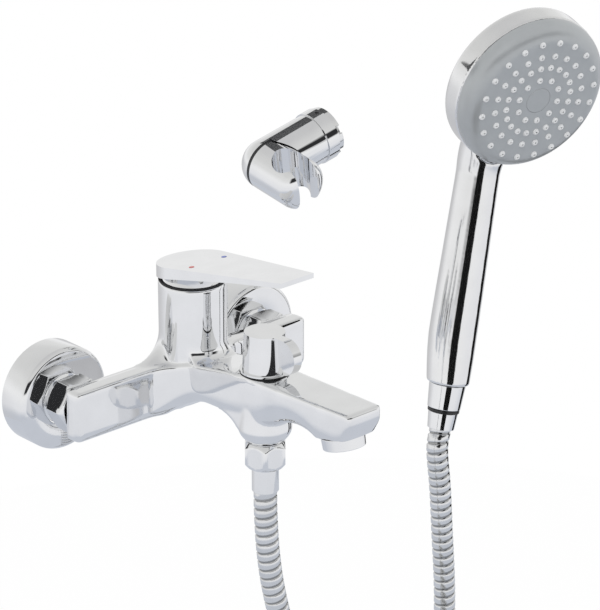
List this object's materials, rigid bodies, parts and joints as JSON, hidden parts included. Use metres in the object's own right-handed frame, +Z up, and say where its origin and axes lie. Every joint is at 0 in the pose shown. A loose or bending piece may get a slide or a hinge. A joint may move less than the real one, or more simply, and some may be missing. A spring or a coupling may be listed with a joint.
{
  "type": "bath shower mixer",
  "caption": "Wall-mounted single-lever bath and shower mixer with flat spout, diverter knob, ribbed hose, round hand shower and tilting wall bracket.",
  "frame": {"origin": "on the finished wall, midway between the two inlets", "axes": "+Y into the wall, the mixer stands out along -Y; +X to the right as seen from the room; +Z up"},
  "size_m": [0.3885, 0.214, 0.5442],
  "materials": {
    "chrome": "polished chrome plate on brass",
    "plated_plastic": "chrome-plated plastic",
    "hose_metal": "bright interlocked strip",
    "brass": "machined",
    "steel": "machined",
    "white_plastic": "moulded",
    "ceramic": "polished, white",
    "black_rubber": "matt",
    "black_plastic": "matt",
    "grey_face": "satin silver grey",
    "nozzle_silicone": "translucent white",
    "red_mark": "gloss",
    "blue_mark": "gloss"
  },
  "bodies": {
    "mixer": {"mixer_body": "chrome", "escutcheon_left": "chrome", "escutcheon_right": "chrome", "union_nut_left": "chrome", "union_nut_right": "chrome", "trim_dome": "chrome", "aerator_ring": "chrome", "hose_nut": "chrome", "hose_ferrule": "chrome", "cone_sleeve": "chrome", "bracket_foot": "chrome", "bracket_barrel": "chrome", "inlet_connector_left": "chrome", "inlet_connector_right": "chrome", "outlet_nipple": "chrome", "bracket_plate": "plated_plastic", "hose_from_mixer": "hose_metal", "hose_coil": "hose_metal", "hose_to_handset": "hose_metal", "cartridge_nut": "brass", "diverter_bonnet": "brass", "bracket_pivot": "steel", "cartridge_body": "white_plastic", "check_valve": "white_plastic", "aerator_insert": "white_plastic", "fixed_disc": "ceramic", "inlet_washer_left": "black_rubber", "inlet_washer_right": "black_rubber", "outlet_washer": "black_rubber", "aerator_washer": "black_rubber", "rim_seal": "black_plastic", "diverter_ring": "black_plastic", "swivel_ring": "black_plastic", "bracket_washer": "black_plastic", "bracket_grub": "black_plastic", "hose_tie": "black_plastic"},
    "lever_carrier": {"cartridge_carrier": "white_plastic"},
    "lever": {"lever": "chrome", "lever_spindle": "steel", "pivot_pin": "steel", "lever_grub": "steel", "hot_mark": "red_mark", "cold_mark": "blue_mark"},
    "moving_disc": {"moving_disc": "ceramic"},
    "diverter": {"diverter_knob": "chrome", "diverter_spindle": "brass", "knob_grub": "steel"},
    "handset": {"handset_shell": "plated_plastic", "handset_face": "grey_face", "nozzle_set": "nozzle_silicone", "face_cap": "grey_face", "face_screw": "steel", "jet_plate": "white_plastic", "face_seal": "black_rubber", "cone_nut": "chrome", "cone_washer": "black_rubber"},
    "cradle": {"bracket_cradle": "chrome"}
  },
  "joints": [
    {"name": "lever_swivel", "type": "hinge", "parent": "mixer", "child": "lever_carrier", "pos_m": [0, -0.0485, 0.056], "axis": [0, 0, 1], "range_deg": [-45, 45]},
    {"name": "lever_lift", "type": "hinge", "parent": "lever_carrier", "child": "lever", "pos_m": [0, -0.0485, 0.056], "axis": [-1, 0, 0], "range_deg": [-14, 4.5]},
    {"name": "disc_slide", "type": "slide", "parent": "lever_carrier", "child": "moving_disc", "axis": [0, -1, 0], "range_m": [-0.00345, 0.00115]},
    {"name": "diverter_turn", "type": "hinge", "parent": "mixer", "child": "diverter", "pos_m": [0, -0.112, 0.025], "axis": [0, 0, 1], "range_deg": [0, 90]},
    {"name": "handset_swivel", "type": "hinge", "parent": "mixer", "child": "handset", "pos_m": [0.182, -0.076, -0.078], "axis": [0.2358, 0.0469, 0.9707], "continuous": true},
    {"name": "cradle_tilt", "type": "hinge", "parent": "mixer", "child": "cradle", "pos_m": [0.05165, -0.05762, 0.12568], "axis": [0.0096, 0.9857, 0.1685], "range_deg": [-45, 45]}
  ],
  "couplings": [
    {"joint": "disc_slide", "follows": "lever_lift", "m_per_rad": 0.014}
  ]
}
